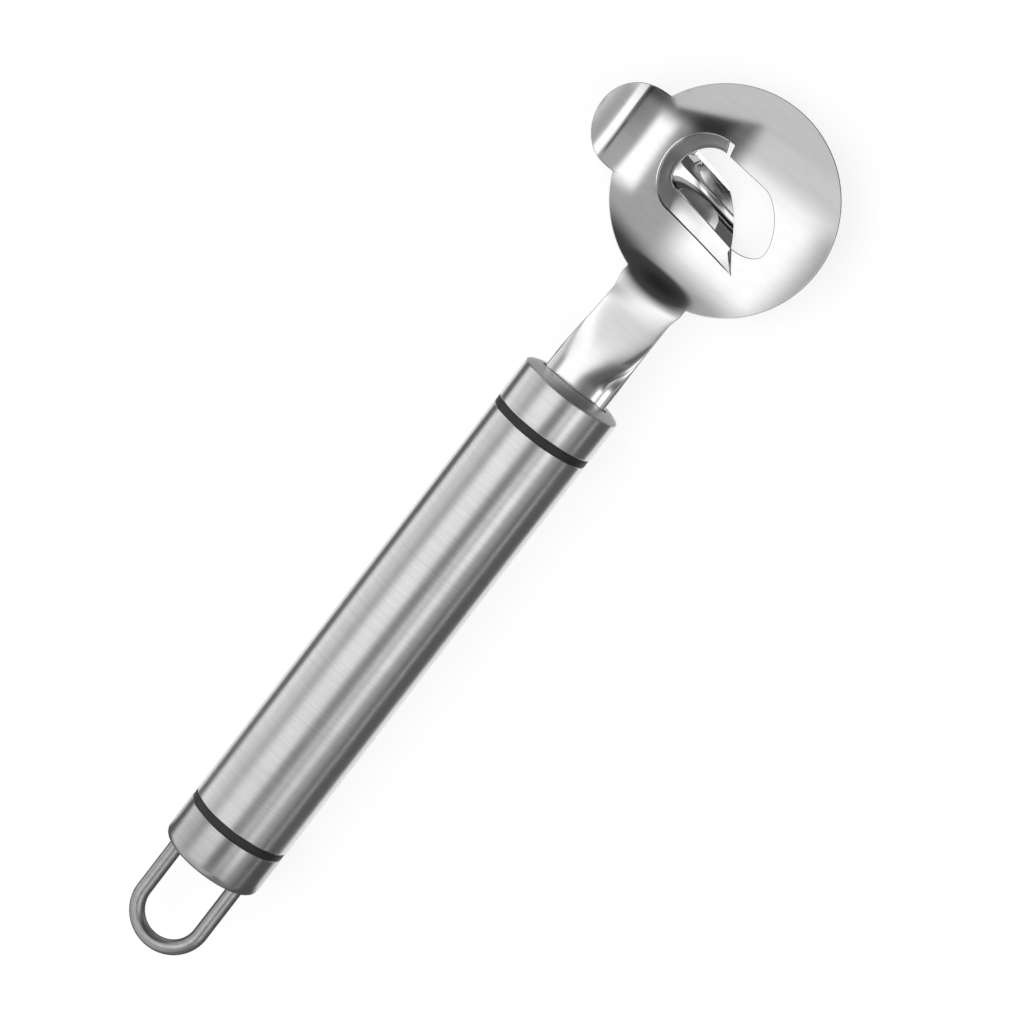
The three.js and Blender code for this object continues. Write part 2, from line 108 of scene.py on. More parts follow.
# Tongue beside the bowl
TONGUE_RADIUS = 0.0092
TONGUE_FLARE = 0.0003
TONGUE_ASIDE = 0.0003
TONGUE_INSET = 0.0007
TONGUE_BEND_START = 0.0188
TONGUE_BENDS = ((0.0026, 0.040), (0.0029, 0.3), (0.0013, 0.0048), (0.0013, 0.0045), (0.0042, 0.022))

# Cutting slot: corner points of its lowered lip and of its hole, from the middle of the disc
LIP_SINK = 0.0005
LIP_INNER_SINK = 0.0003
LIP_LEFT_STEP = 0.00012
LIP_BEVEL = 0.0002
LIP_BEVEL_DROP = 0.00004
LIP_STEP = 0.00007
LIP_CROWDING = 2
LIP_LEFT_FROM = 0.5
SLIT_WIDTH = 0.0002
SHEAR = 0.00035
SLIT_START = Vector((0.00695, 0.00485))
SLIT_END = Vector((-0.01115, -0.00975))
NOTCH_END = Vector((0.00935, 0.00675))
NOTCH_WIDTH = 0.0014
SLOT_TOP = Vector((0.00045, 0.01495))
SLOT_SHOULDER = Vector((-0.00875, 0.00785))
HOLE_NOTCH = Vector((0.00705, 0.00585))
HOLE_TOP = Vector((-0.00065, 0.01195))
HOLE_SHOULDER = Vector((-0.00445, 0.00945))
HOLE_SLIT = Vector((-0.0070, -0.0064))
HOLE_FOOT = Vector((-0.00375, -0.01215))
HOLE_SIDE = Vector((0.00625, -0.00395))
ROUND_CORNER = 0.55
SLACK_CORNER = 0.43

# Directions, in degrees from the middle of the disc, of the spokes to the slot's corners
AT_HOLE_SIDE = -35
AT_SLIT_START = 14
AT_NOTCH_FOOT = 24
AT_NOTCH_END = 34
AT_SLOT_TOP = 87
AT_SHOULDER = 138
BESIDE_SLIT = 203
AT_SLIT_END = 222
AT_HOLE_SLIT = 233
AT_HOLE_FOOT = 262

# Gouge blade
BLADE_SHEET = 0.0008
BLADE_GAP = 0.0006
BLADE_HALF_WIDTH = 0.0039
BLADE_TRIM = 0.0008
BLADE_SLACKNESS = 1.8
BLADE_LAP = 0.00065
BLADE_HEEL_BOW = 90.0
BLADE_RAMP = 0.014
BEVEL_LENGTH = 0.0014
EDGE_THICKNESS = 0.00015
BLADE_CREASE = math.radians(25)

# Fineness of the meshes
SIDES = 192
WIRE_SIDES = 32
FILLET_STEPS = 5
DOME_STEPS = 24
OPENING_STEPS = 40
BORE_SIDES = 48
BOW_STEPS = 64
LEG_STEPS = 20
SPOKE_STEP = math.radians(0.8)
NECK_SPOKE_STEP = math.radians(0.45)
SPOKE_ROWS = 52
SPOKE_CROWDING = 1.15
NECK_ROWS = 56
LIP_ROWS = 8
BLADE_COLUMNS = 64
BLADE_ROWS = 60
SAME_ANGLE = 1e-6
SAME_PLACE = 1e-6

# Noise in the materials: the part of its range that is used, and the uneven gloss of the steel
NOISE_LOW = 0.3
NOISE_HIGH = 0.7
GLOSS_GRAIN = 90.0
GLOSS_DETAIL = 3.0
GRAIN_DETAIL = 4.0
QUARTER_TURN = 0.25
BRUSHED = 0.75
COOLNESS = 1.005

# Worked out
DISC = Vector((HEAD_HIGH.x - DISC_RADIUS, HEAD_LOW.y + DISC_RADIUS, AXIS_Z))
NECK_Y = AXIS_Y - DISC.y
RIM_HEIGHT = SHEET / 2
DISC_AHEAD = NECK_LENGTH + DISC_RADIUS
TANG_END = HEAD_LOW.x - DISC.x
NECK_SHOULDER = TANG_END + TANG_LENGTH
TONGUE = Vector((TONGUE_ASIDE, DISC_RADIUS - TONGUE_INSET))
NOTCH_FOOT = Vector((NOTCH_END.x, NOTCH_END.y - NOTCH_WIDTH))
INNER = RADIUS - WALL


def lerp(a, b, share):
    return a + (b - a) * share


def spaced(first, last, steps):
    return [lerp(first, last, k / steps) for k in range(steps + 1)]


def smoothstep(value, start, end):
    share = min(1.0, max(0.0, (value - start) / (end - start)))
    return share * share * (3 - 2 * share)


# Materials


def new_material(name):
    material = bpy.data.materials.new(name)
    material.use_nodes = True
    tree = material.node_tree
    return material, tree, tree.nodes["Principled BSDF"]


def add_node(tree, kind, **settings):
    made = tree.nodes.new(kind)
    for key, value in settings.items():
        setattr(made, key, value)
    return made


def stretched_noise(tree, stretch, scale, detail=GRAIN_DETAIL):
    """Noise in the object's own place, squeezed along each axis by stretch."""
    place = add_node(tree, "ShaderNodeTexCoord")
    mapping = add_node(tree, "ShaderNodeMapping")
    mapping.inputs["Scale"].default_value = stretch
    noise = add_node(tree, "ShaderNodeTexNoise")
    noise.inputs["Scale"].default_value = scale
    noise.inputs["Detail"].default_value = detail
    tree.links.new(place.outputs["Object"], mapping.inputs["Vector"])
    tree.links.new(mapping.outputs["Vector"], noise.inputs["Vector"])
    return noise.outputs["Fac"]


def ranged(tree, value, low, high):
    """The middle of a noise spread over low to high."""
    spread = add_node(tree, "ShaderNodeMapRange")
    spread.inputs["From Min"].default_value = NOISE_LOW
    spread.inputs["From Max"].default_value = NOISE_HIGH
    spread.inputs["To Min"].default_value = low
    spread.inputs["To Max"].default_value = high
    tree.links.new(value, spread.inputs["Value"])
    return spread.outputs["Result"]


def tinted(tree, value, dark, light):
    ramp = add_node(tree, "ShaderNodeValToRGB")
    ramp.color_ramp.elements[0].position = NOISE_LOW
    ramp.color_ramp.elements[0].color = (*dark, 1)
    ramp.color_ramp.elements[1].position = NOISE_HIGH
    ramp.color_ramp.elements[1].color = (*light, 1)
    tree.links.new(value, ramp.inputs["Fac"])
    return ramp.outputs["Color"]


def bumped(tree, shader, value, strength, distance):
    bump = add_node(tree, "ShaderNodeBump")
    bump.inputs["Strength"].default_value = strength
    bump.inputs["Distance"].default_value = distance
    tree.links.new(value, bump.inputs["Height"])
    tree.links.new(bump.outputs["Normal"], shader.inputs["Normal"])


def steel(name, dark, light, rough, stretch, grain, bump, aniso=0.0):
    """Steel with streaks along the short axes of stretch, uneven gloss and a fine grain."""
    material, tree, shader = new_material(name)
    shader.inputs["Metallic"].default_value = 1.0
    streaks = stretched_noise(tree, stretch, grain)
    patches = stretched_noise(tree, (1, 1, 1), GLOSS_GRAIN, GLOSS_DETAIL)
    tree.links.new(tinted(tree, streaks, dark, light), shader.inputs["Base Color"])
    tree.links.new(ranged(tree, patches, *rough), shader.inputs["Roughness"])
    bumped(tree, shader, streaks, *bump)
    if aniso:
        shader.inputs["Anisotropic"].default_value = aniso
        shader.inputs["Anisotropic Rotation"].default_value = QUARTER_TURN
        tangent = add_node(tree, "ShaderNodeTangent", direction_type="RADIAL", axis="X")
        tree.links.new(tangent.outputs["Tangent"], shader.inputs["Tangent"])
    return material


def matt(name, dark, light, rough, grain, bump):
    """Rubber or plain plastic with a fine uneven skin."""
    material, tree, shader = new_material(name)
    skin = stretched_noise(tree, (1, 1, 1), grain)
    tree.links.new(tinted(tree, skin, dark, light), shader.inputs["Base Color"])
    tree.links.new(ranged(tree, skin, *rough), shader.inputs["Roughness"])
    bumped(tree, shader, skin, *bump)
    return material


def grey(level):
    return (level, level, level * COOLNESS)


def handle_finish(name, dark, light):
    """Steel that is brushed round the handle."""
    round_the_axis = (1, 0.012, 0.012)
    return steel(
        name, grey(dark), grey(light), (0.30, 0.36), round_the_axis, 5200.0, (0.16, 0.00002), BRUSHED
    )


HANDLE_STEEL = handle_finish("handle_steel", 0.66, 0.78)
CAP_STEEL = handle_finish("cap_steel", 0.50, 0.60)
LOOP_STEEL = steel(
    "loop_steel", grey(0.42), grey(0.52), (0.30, 0.38), (1, 0.2, 0.2), 2600.0, (0.12, 0.00003)
)
HEAD_STEEL = steel(
    "head_steel", grey(0.77), grey(0.81), (0.07, 0.11), (1, 0.15, 1), 900.0, (0.012, 0.00002)
)
BLADE_STEEL = steel(
    "blade_steel", grey(0.78), grey(0.84), (0.05, 0.09), (0.2, 1, 1), 900.0, (0.02, 0.00002)
)
PIN_STEEL = steel(
    "pin_steel", grey(0.52), grey(0.64), (0.30, 0.42), (1, 1, 0.1), 1500.0, (0.1, 0.00003)
)
RING_RUBBER = matt("ring_rubber", grey(0.022), grey(0.036), (0.45, 0.58), 1800.0, (0.2, 0.00004))
CORE_PLASTIC = matt(
    "core_plastic", (0.66, 0.65, 0.61), (0.72, 0.71, 0.67), (0.5, 0.6), 600.0, (0.1, 0.00005)
)


# Meshes


def new_object(name, points, faces):
    mesh = bpy.data.meshes.new(name)
    mesh.from_pydata(points, [], faces)
    mesh.update()
    made = bpy.data.objects.new(name, mesh)
    bpy.context.scene.collection.objects.link(made)
    return made


def dress(piece, node, material):
    """Makes a mesh a piece of the object, in the place of a node of the frame."""
    piece.data.materials.clear()
    piece.data.materials.append(material)
    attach(piece, "root")
    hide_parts(node)


def smooth(piece, crease=CAP_CREASE):
    piece.data.shade_smooth()
    piece.data.set_sharp_from_angle(angle=crease)


def cut(piece, cutters):
    """Takes the cutters out of a piece and removes them."""
    for cutter in cutters:
        modifier = piece.modifiers.new("cut", "BOOLEAN")
        modifier.operation = "DIFFERENCE"
        modifier.solver = "EXACT"
        modifier.object = cutter
    shown = piece.evaluated_get(bpy.context.evaluated_depsgraph_get())
    mesh = bpy.data.meshes.new_from_object(shown)
    piece.modifiers.clear()
    piece.data = mesh
    for cutter in cutters:
        bpy.data.objects.remove(cutter)


def filleted(corners):
    """A profile through corners (x, radius, rounding), each corner rounded by an arc."""
    profile = []
    for k, (x, radius, rounding) in enumerate(corners):
        here = Vector((x, radius))
        if not rounding:
            profile.append(here)
            continue
        before = Vector(corners[k - 1][:2]) - here
        after = Vector(corners[(k + 1) % len(corners)][:2]) - here
        start = here + before.normalized() * rounding
        end = here + after.normalized() * rounding
        middle = start + end - here
        for step in range(FILLET_STEPS + 1):
            angle = math.pi / 2 * step / FILLET_STEPS
            towards_start = (start - middle) * math.cos(angle)
            towards_end = (end - middle) * math.sin(angle)
            profile.append(middle + towards_start + towards_end)
    return profile


def lathe(name, profile, closed):
    """A body about the handle's axis: a closed profile gives a ring, an open one ends on the axis."""
    points, rings, faces = [], [], []
    for x, radius in profile:
        count = SIDES if radius > SAME_PLACE else 1
        rings.append(range(len(points), len(points) + count))
        for k in range(count):
            angle = 2 * math.pi * k / SIDES
            points.append((x, AXIS_Y + radius * math.cos(angle), AXIS_Z + radius * math.sin(angle)))
    pairs = list(zip(rings, rings[1:]))
    if closed:
        pairs.append((rings[-1], rings[0]))
    for first, second in pairs:
        for k in range(SIDES):
            after = (k + 1) % SIDES
            corners = [first[k % len(first)], first[after % len(first)]]
            corners += [second[after % len(second)], second[k % len(second)]]
            faces.append(list(dict.fromkeys(corners)))
    made = new_object(name, points, faces)
    face_outwards(made)
    return made


def face_outwards(piece):
    """Turns all faces so that the solid's volume is positive."""
    mesh = piece.data
    mesh.calc_loop_triangles()
    volume = 0.0
    for triangle in mesh.loop_triangles:
        a, b, c = (mesh.vertices[v].co for v in triangle.vertices)
        volume += a.dot(b.cross(c))
    if volume < 0:
        mesh.flip_normals()


def prism(name, outline, place, depth):
    """A straight solid: place turns (a, b, distance) into a point."""
    count = len(outline)
    points = [place(a, b, d) for d in (0.0, depth) for a, b in outline]
    faces = [list(range(count)), list(range(2 * count - 1, count - 1, -1))]
    for k in range(count):
        after = (k + 1) % count
        faces.append([k, after, count + after, count + k])
    made = new_object(name, points, faces)
    face_outwards(made)
    return made


# Handle


def sleeve(name, low, high, outer):
    """A thin ring of the tube's bore between two places along the handle, with rounded outer edges."""
    corners = [(low, INNER, 0), (low, outer, EDGE), (high, outer, EDGE), (high, INNER, 0)]
    made = lathe(name, filleted(corners), True)
    smooth(made)
    return made


def handle_tube():
    tube = sleeve("tube_skin", TUBE_LOW.x, TUBE_HIGH.x, RADIUS)
    dress(tube, "handle_tube", HANDLE_STEEL)


def ring(node):
    low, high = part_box(node)
    band = sleeve(node + "_skin", low.x, high.x, RADIUS - RING_RECESS)
    dress(band, node, RING_RUBBER)


def front_cap():
    low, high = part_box("front_cap")
    high.x -= FRONT_TRIM
    shoulder = high.x - DOME
    inside = shoulder - CAP_END_WALL
    profile = filleted([
        (inside, INNER, 0),
        (low.x, INNER, 0),
        (low.x, RADIUS, EDGE),
        (shoulder, RADIUS, 0),
    ])
    for step in range(1, DOME_STEPS + 1):
        angle = math.pi / 2 * step / DOME_STEPS
        profile.append(Vector((shoulder + DOME * math.sin(angle), RADIUS * math.cos(angle))))
    profile.insert(0, Vector((inside, 0)))
    cap = lathe("front_cap_skin", profile, False)
    slot_half = SHEET / 2 + TANG_FIT
    cutters = []
    for side in (1, -1):
        wedge = [
            (high.x, side * slot_half),
            (high.x - FLAT_RECESS, side * (RADIUS - FLAT_MARGIN)),
            (high.x - FLAT_RECESS, side * (RADIUS + DOME)),
            (high.x + DOME, side * (RADIUS + DOME)),
            (high.x + DOME, side * slot_half),
        ]
        cutters.append(prism(
            "flat", wedge, lambda x, z, d: (x, AXIS_Y - 2 * RADIUS + d, AXIS_Z + z), 4 * RADIUS
        ))
    neck_side = NECK_WIDTH / 2
    across = spaced(-neck_side - NECK_FIT, neck_side + NECK_FIT, OPENING_STEPS)
    opening = [(y, neck_height(y, neck_side) - SHEET - TANG_FIT) for y in across]
    opening += [(y, neck_height(y, neck_side) + TANG_FIT) for y in reversed(across)]
    start = inside - DOME
    cutters.append(prism(
        "slot", opening, lambda y, z, d: (start + d, AXIS_Y + y, AXIS_Z + z), 4 * DOME + CAP_END_WALL
    ))
    cut(cap, cutters)
    smooth(cap)
    dress(cap, "front_cap", HANDLE_STEEL)


def loop_legs():
    low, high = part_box("hanging_loop")
    return low.y + WIRE, high.y - WIRE


def rear_cap():
    low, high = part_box("rear_cap")
    low.x -= REAR_REACH
    inside = low.x + CAP_END_WALL
    profile = filleted([
        (low.x, 0, 0),
        (low.x, RADIUS, REAR_EDGE),
        (high.x, RADIUS, EDGE),
        (high.x, INNER, 0),
        (inside, INNER, 0),
    ])
    profile.append(Vector((inside, 0)))
    cap = lathe("rear_cap_skin", profile, False)
    bore = WIRE + LEG_FIT
    turns = [2 * math.pi * k / BORE_SIDES for k in range(BORE_SIDES)]
    circle = [(bore * math.cos(turn), bore * math.sin(turn)) for turn in turns]
    start = low.x - WIRE
    depth = CAP_END_WALL + 2 * WIRE
    cutters = [
        prism("bore", circle, lambda y, z, d: (start + d, leg + y, AXIS_Z + z), depth)
        for leg in loop_legs()
    ]
    cut(cap, cutters)
    smooth(cap)
    dress(cap, "rear_cap", CAP_STEEL)


def hanging_loop():
    low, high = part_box("hanging_loop")
    near, far = loop_legs()
    half = (far - near) / 2
    bow_x = low.x + WIRE + half
    path = [(Vector((x, far)), Vector((0, 1))) for x in spaced(high.x, bow_x, LEG_STEPS)]
    for k in range(1, BOW_STEPS):
        angle = math.pi / 2 + math.pi * k / BOW_STEPS
        out = Vector((math.cos(angle), math.sin(angle)))
        path.append((Vector((bow_x, AXIS_Y)) + out * half, out))
    path += [(Vector((x, near)), Vector((0, -1))) for x in spaced(bow_x, high.x, LEG_STEPS)]
    points, faces = [], []
    for place, out in path:
        for k in range(WIRE_SIDES):
            angle = 2 * math.pi * k / WIRE_SIDES
            at = place + out * WIRE * math.cos(angle)
            points.append((at.x, at.y, AXIS_Z + WIRE * math.sin(angle)))
    for row in range(len(path) - 1):
        for k in range(WIRE_SIDES):
            after = (k + 1) % WIRE_SIDES
            here, there = row * WIRE_SIDES, (row + 1) * WIRE_SIDES
            faces.append([here + k, here + after, there + after, there + k])
    faces.append(list(range(WIRE_SIDES)))
    faces.append(list(range(len(points) - WIRE_SIDES, len(points)))[::-1])
    loop = new_object("loop_wire", points, faces)
    face_outwards(loop)
    smooth(loop)
    dress(loop, "hanging_loop", LOOP_STEEL)


# Head pressing, worked out from the middle of the disc


def bowl_height(radius):
    return RIM_HEIGHT - BOWL_DEPTH + BOWL_RADIUS - math.sqrt(BOWL_RADIUS**2 - radius**2)


def along_neck(x):
    """Share of the neck's length: 0 at the cap's end, 1 at its root on the disc."""
    return min(1.0, max(0.0, (x + DISC_AHEAD) / NECK_LENGTH))


def neck_half(x):
    """Half the neck's width, from the cap's end through the waist to its root on the disc."""
    along = along_neck(x)
    straight = lerp(NECK_WIDTH, NECK_WAIST, smoothstep(along, 0, NECK_WAIST_PLACE))
    flare = (NECK_ROOT_WIDTH - NECK_WAIST) * smoothstep(along, NECK_FLARE_START, 1)
    return (straight + flare) / 2


def neck_middle(x):
    """The neck's middle line leaves the handle's axis and drifts towards the disc's middle."""
    return NECK_Y - NECK_DRIFT * smoothstep(along_neck(x), 0, NECK_WAIST_PLACE)


def neck_height(aside, half, along=0.0):
    """Height of the arched neck before it sinks: round near the cap, almost flat at its root."""
    flat = smoothstep(along, *NECK_FLATTENS)
    roundness = lerp(NECK_ROUNDNESS, NECK_ROOT_ROUNDNESS, flat)
    arch = lerp(NECK_ARCH, NECK_ROOT_ARCH, flat)
    off = aside - NECK_CROWN_ASIDE
    side = half - math.copysign(NECK_CROWN_ASIDE, off)
    across = min(1.0, abs(off) / side) * half / (half + NECK_ARCH_MARGIN)
    fall = arch * (1 - (1 - across**roundness) ** (1 / roundness))
    return RIM_HEIGHT + NECK_RISE + NECK_LIFT - fall


def neck_dip(x):
    """How far the neck's middle line has sunk towards the bowl: over a bend, then at an even slope."""
    run = NECK_DIP_EVEN - NECK_DIP_START
    past = max(0.0, x - NECK_DIP_START)
    bent = min(past, run)
    return NECK_DIP_SLOPE * (bent**2 / (2 * run) + past - bent)


def tongue_rise(y):
    """The tongue leaves the bowl over a slack bend and turns down to its tip over tighter ones."""
    past = max(0.0, y - TONGUE_BEND_START)
    sine = TONGUE_BEND_START / BOWL_RADIUS
    rise = 0.0
    for length, radius in TONGUE_BENDS:
        run = min(past, length)
        after = sine - run / radius
        rise += radius * (math.sqrt(1 - after**2) - math.sqrt(1 - sine**2))
        sine = after
        past -= run
    return rise


def press_height(x, y):
    """Height of the pressing's upper face over its plan: bowl, arched neck and tongue."""
    radius = math.hypot(x, min(y, TONGUE_BEND_START))
    dish = bowl_height(min(radius, DISH_REACH)) + tongue_rise(y)
    aside = y - neck_middle(x)
    half = neck_half(x)
    on_neck = smoothstep(-x, *NECK_JOIN) * (1 - smoothstep(abs(aside), half, half + NECK_SPREAD))
    arch = neck_height(aside, half, along_neck(x))
    twisted = smoothstep(x, *NECK_TWIST_GROWS) - smoothstep(x, *NECK_TWIST_ENDS)
    return lerp(dish, arch - neck_dip(x) + NECK_TWIST * aside * twisted, on_neck)


def line(start, end):
    return lambda share: start.lerp(end, share)


def corner(upright, level, fullness=ROUND_CORNER):
    """A rounded corner from a point where the edge runs along Y to one where it runs along X."""
    first = Vector((upright.x, lerp(upright.y, level.y, fullness)))
    second = Vector((lerp(level.x, upright.x, fullness), level.y))

    def point(share):
        rest = 1 - share
        start = upright * rest**3 + first * (3 * rest**2 * share)
        return start + second * (3 * rest * share**2) + level * share**3

    return point


def backwards(curve):
    return lambda share: curve(1 - share)


def beside_slit():
    """The point of the lip's outer edge that faces the corner between hole and slit."""
    run = SLIT_END - SLOT_SHOULDER
    share = (HOLE_SLIT - SLOT_SHOULDER).dot(run) / run.length_squared
    return SLOT_SHOULDER.lerp(SLIT_END, share)


def lip_edges():
    """Both edges of the lowered lip in matching stretches, from the notch to the slit's end."""
    outer = [
        corner(NOTCH_END, SLOT_TOP),
        backwards(corner(SLOT_SHOULDER, SLOT_TOP)),
        line(SLOT_SHOULDER, beside_slit()),
        line(beside_slit(), SLIT_END),
    ]
    inner = [
        corner(HOLE_NOTCH, HOLE_TOP),
        backwards(corner(HOLE_SHOULDER, HOLE_TOP)),
        line(HOLE_SHOULDER, HOLE_SLIT),
        line(HOLE_SLIT, SLIT_END),
    ]
    return outer, inner


def slot_edge():
    """The edge round the slot in the bowl: stretches with the directions of their first and last spoke."""
    outer, _ = lip_edges()
    return [
        (line(HOLE_SIDE, SLIT_START), AT_HOLE_SIDE, AT_SLIT_START),
        (line(SLIT_START, NOTCH_FOOT), AT_SLIT_START, AT_NOTCH_FOOT),
        (line(NOTCH_FOOT, NOTCH_END), AT_NOTCH_FOOT, AT_NOTCH_END),
        (outer[0], AT_NOTCH_END, AT_SLOT_TOP),
        (outer[1], AT_SLOT_TOP, AT_SHOULDER),
        (outer[2], AT_SHOULDER, BESIDE_SLIT),
        (outer[3], BESIDE_SLIT, AT_SLIT_END),
        (line(SLIT_END, HOLE_SLIT), AT_SLIT_END, AT_HOLE_SLIT),
        (corner(HOLE_SLIT, HOLE_FOOT), AT_HOLE_SLIT, AT_HOLE_FOOT),
        (backwards(corner(HOLE_SIDE, HOLE_FOOT, SLACK_CORNER)), AT_HOLE_FOOT, AT_HOLE_SIDE + 360),
    ]


def tongue_corner(side):
    """Where the tongue's straight side meets the disc's rim."""
    foot = Vector((TONGUE.x + side * (TONGUE_RADIUS + TONGUE_FLARE), TONGUE.y - TONGUE_RADIUS))
    head = Vector((TONGUE.x + side * TONGUE_RADIUS, TONGUE.y))
    run = head - foot
    a, b, c = run.length_squared, foot.dot(run), foot.length_squared - DISC_RADIUS**2
    return foot.lerp(head, (-b + math.sqrt(b * b - a * c)) / a)


def angle_of(place):
    return math.atan2(place.y, place.x) % (2 * math.pi)


def rim_point(angle):
    """The outer edge of the disc and its tongue in one direction from the middle."""
    out = Vector((math.cos(angle), math.sin(angle)))
    right, left = tongue_corner(1), tongue_corner(-1)
    turn = angle % (2 * math.pi)
    if not angle_of(right) < turn < angle_of(left):
        return out * DISC_RADIUS
    for side, root in ((1, right), (-1, left)):
        top = Vector((TONGUE.x + side * TONGUE_RADIUS, TONGUE.y))
        if (turn - angle_of(top)) * side <= 0:
            run = top - root
            return out * (root.cross(run) / out.cross(run))
    ahead = out.dot(TONGUE)
    return out * (ahead + math.sqrt(ahead**2 - TONGUE.length_squared + TONGUE_RADIUS**2))


def neck_corner(side):
    y = neck_middle(-DISC_RADIUS) + side * NECK_ROOT_WIDTH / 2
    return Vector((-math.sqrt(DISC_RADIUS**2 - y**2), y))


def spoke_angles():
    """Directions of the spokes: every corner of the edges has one, with even steps between."""
    fixed = [math.radians(end) for _, _, end in slot_edge()]
    fixed += [angle_of(tongue_corner(side)) for side in (1, -1)]
    fixed += [angle_of(Vector((TONGUE.x + side * TONGUE_RADIUS, TONGUE.y))) for side in (1, -1)]
    neck = [angle_of(neck_corner(side)) for side in (1, -1)]
    fixed = sorted([math.radians(AT_HOLE_SIDE), *fixed, *neck])
    angles = []
    for first, last in zip(fixed, fixed[1:]):
        on_neck = neck[0] - SAME_ANGLE <= first < neck[1] - SAME_ANGLE
        step = NECK_SPOKE_STEP if on_neck else SPOKE_STEP
        steps = max(1, round((last - first) / step))
        angles += spaced(first, last, steps)[:-1]
    return angles


def slot_point(angle):
    for curve, first, last in slot_edge():
        if math.radians(first) - SAME_ANGLE <= angle < math.radians(last) - SAME_ANGLE:
            return curve((angle - math.radians(first)) / math.radians(last - first))
    return HOLE_SIDE


class Sheet:
    """The upper face of the pressing as it grows: points and faces over the plan."""

    def __init__(self):
        self.points = []
        self.faces = []

    def add(self, x, y, height):
        self.points.append(Vector((x, y, height)))
        return len(self.points) - 1

    def strip(self, first, second):
        """Faces between two rows of points. A repeated corner gives a triangle."""
        for a, b, c, d in zip(first, first[1:], second[1:], second):
            corners = list(dict.fromkeys([a, b, c, d]))
            if len(corners) > 2:
                self.faces.append(corners)


def bowl_and_tongue(sheet):
    """Spokes from the slot to the rim. Gives their directions and the rows at the slot and the rim."""
    angles = spoke_angles()
    rows = []
    for row in range(SPOKE_ROWS + 1):
        share = (row / SPOKE_ROWS) ** SPOKE_CROWDING
        ids = []
        for angle in angles:
            place = slot_point(angle).lerp(rim_point(angle), share)
            ids.append(sheet.add(place.x, place.y, press_height(place.x, place.y)))
        rows.append(ids)
    for first, second in zip(rows, rows[1:]):
        sheet.strip([*second, second[0]], [*first, first[0]])
    return angles, rows[0], rows[-1]


def neck(sheet, angles, rim):
    """The neck from the rim into the cap, then the tang."""
    low, high = (angle_of(neck_corner(side)) for side in (1, -1))
    across = [k for k, angle in enumerate(angles) if low - SAME_ANGLE <= angle <= high + SAME_ANGLE]
    row = [rim[k] for k in across]
    starts = [sheet.points[point].copy() for point in row]
    root = NECK_ROOT_WIDTH / 2
    shares = [(start.y - neck_middle(-DISC_RADIUS)) / root for start in starts]
    for step in range(1, NECK_ROWS + 1):
        ids = []
        for start, share in zip(starts, shares):
            x = lerp(start.x, NECK_SHOULDER, step / NECK_ROWS)
            y = neck_middle(x) + share * neck_half(x)
            ids.append(sheet.add(x, y, press_height(x, y)))
        sheet.strip(ids, row)
        row = ids
    inside = [k for k, share in enumerate(shares) if abs(share) * NECK_WIDTH / 2 <= TANG_HALF]
    row = [row[k] for k in inside]
    ends = [sheet.points[point] - Vector((0, 0, NECK_LIFT)) for point in row]
    ids = [sheet.add(TANG_END, end.y, end.z) for end in ends]
    sheet.strip(ids, row)


def lip(sheet, angles, slot):
    """The lowered strip between the edge in the bowl and the edge of the hole."""
    outer, inner = lip_edges()
    spans = [(first, last) for _, first, last in slot_edge() if AT_NOTCH_END <= first < AT_SLIT_END]
    stations = []
    for point, angle in zip(slot, angles):
        turn = math.degrees(angle)
        for k, (first, last) in enumerate(spans):
            at_end = last == AT_SLIT_END and abs(turn - last) < SAME_ANGLE
            if at_end or first - SAME_ANGLE <= turn < last - SAME_ANGLE:
                share = min(1.0, (turn - first) / (last - first))
                left = (0.0, 0.0, smoothstep(share, 0, LIP_LEFT_FROM), 1.0)[k]
                stations.append((point, outer[k](share), inner[k](share), k == 3, share, left))
                break
    slit_run = (SLIT_END - SLIT_START).normalized()
    off_slit = Vector((slit_run.y, -slit_run.x))
    columns = []
    for point, edge, foot, at_slit, share, left in stations:
        width = (foot - edge).length
        if width < SAME_PLACE:
            columns.append([point] * (LIP_ROWS + 4))
            continue
        pressed = 1 - smoothstep(share, 0, 1) if at_slit else 1.0
        sheared = SHEAR * pressed if at_slit else 0.0
        if at_slit:
            foot = foot + off_slit * min(SLIT_WIDTH, width / 4)
        inward = (foot - edge).normalized()
        bevel = edge + inward * min(LIP_BEVEL, width / 8)
        start = bevel + inward * min(LIP_STEP, width / 8)
        end = foot - inward * min(SHEAR, width / 4)
        step = lerp(LIP_SINK, LIP_LEFT_STEP, left)
        rows = [(bevel, LIP_BEVEL_DROP * (1 - left))]
        for row in range(LIP_ROWS + 1):
            way = (row / LIP_ROWS) ** LIP_CROWDING
            rows.append((start.lerp(end, way), lerp(step, LIP_INNER_SINK, way)))
        rows.append((foot, LIP_INNER_SINK + sheared))
        column = [point]
        for place, drop in rows:
            column.append(sheet.add(place.x, place.y, press_height(place.x, place.y) - drop * pressed))
        columns.append(column)
    for first, second in zip(columns, columns[1:]):
        sheet.strip(second, first)


def boundary(faces):
    """The free edges of a sheet, each as its first and second point in the order of its face."""
    edges = {}
    for corners in faces:
        for a, b in zip(corners, [*corners[1:], corners[0]]):
            edges[(a, b)] = True
    return [(a, b) for a, b in edges if (b, a) not in edges]


def face_normals(points, faces):
    """Smooth normals at the points, weighted by the faces' areas."""
    normals = [Vector((0, 0, 0)) for _ in points]
    for corners in faces:
        a, b, c = (points[k] for k in (corners[0], corners[1], corners[2]))
        normal = (b - a).cross(c - a)
        if len(corners) == 4:
            d = points[corners[3]]
            normal = (c - a).cross(d - b)
        for k in corners:
            normals[k] += normal
    return [normal.normalized() for normal in normals]


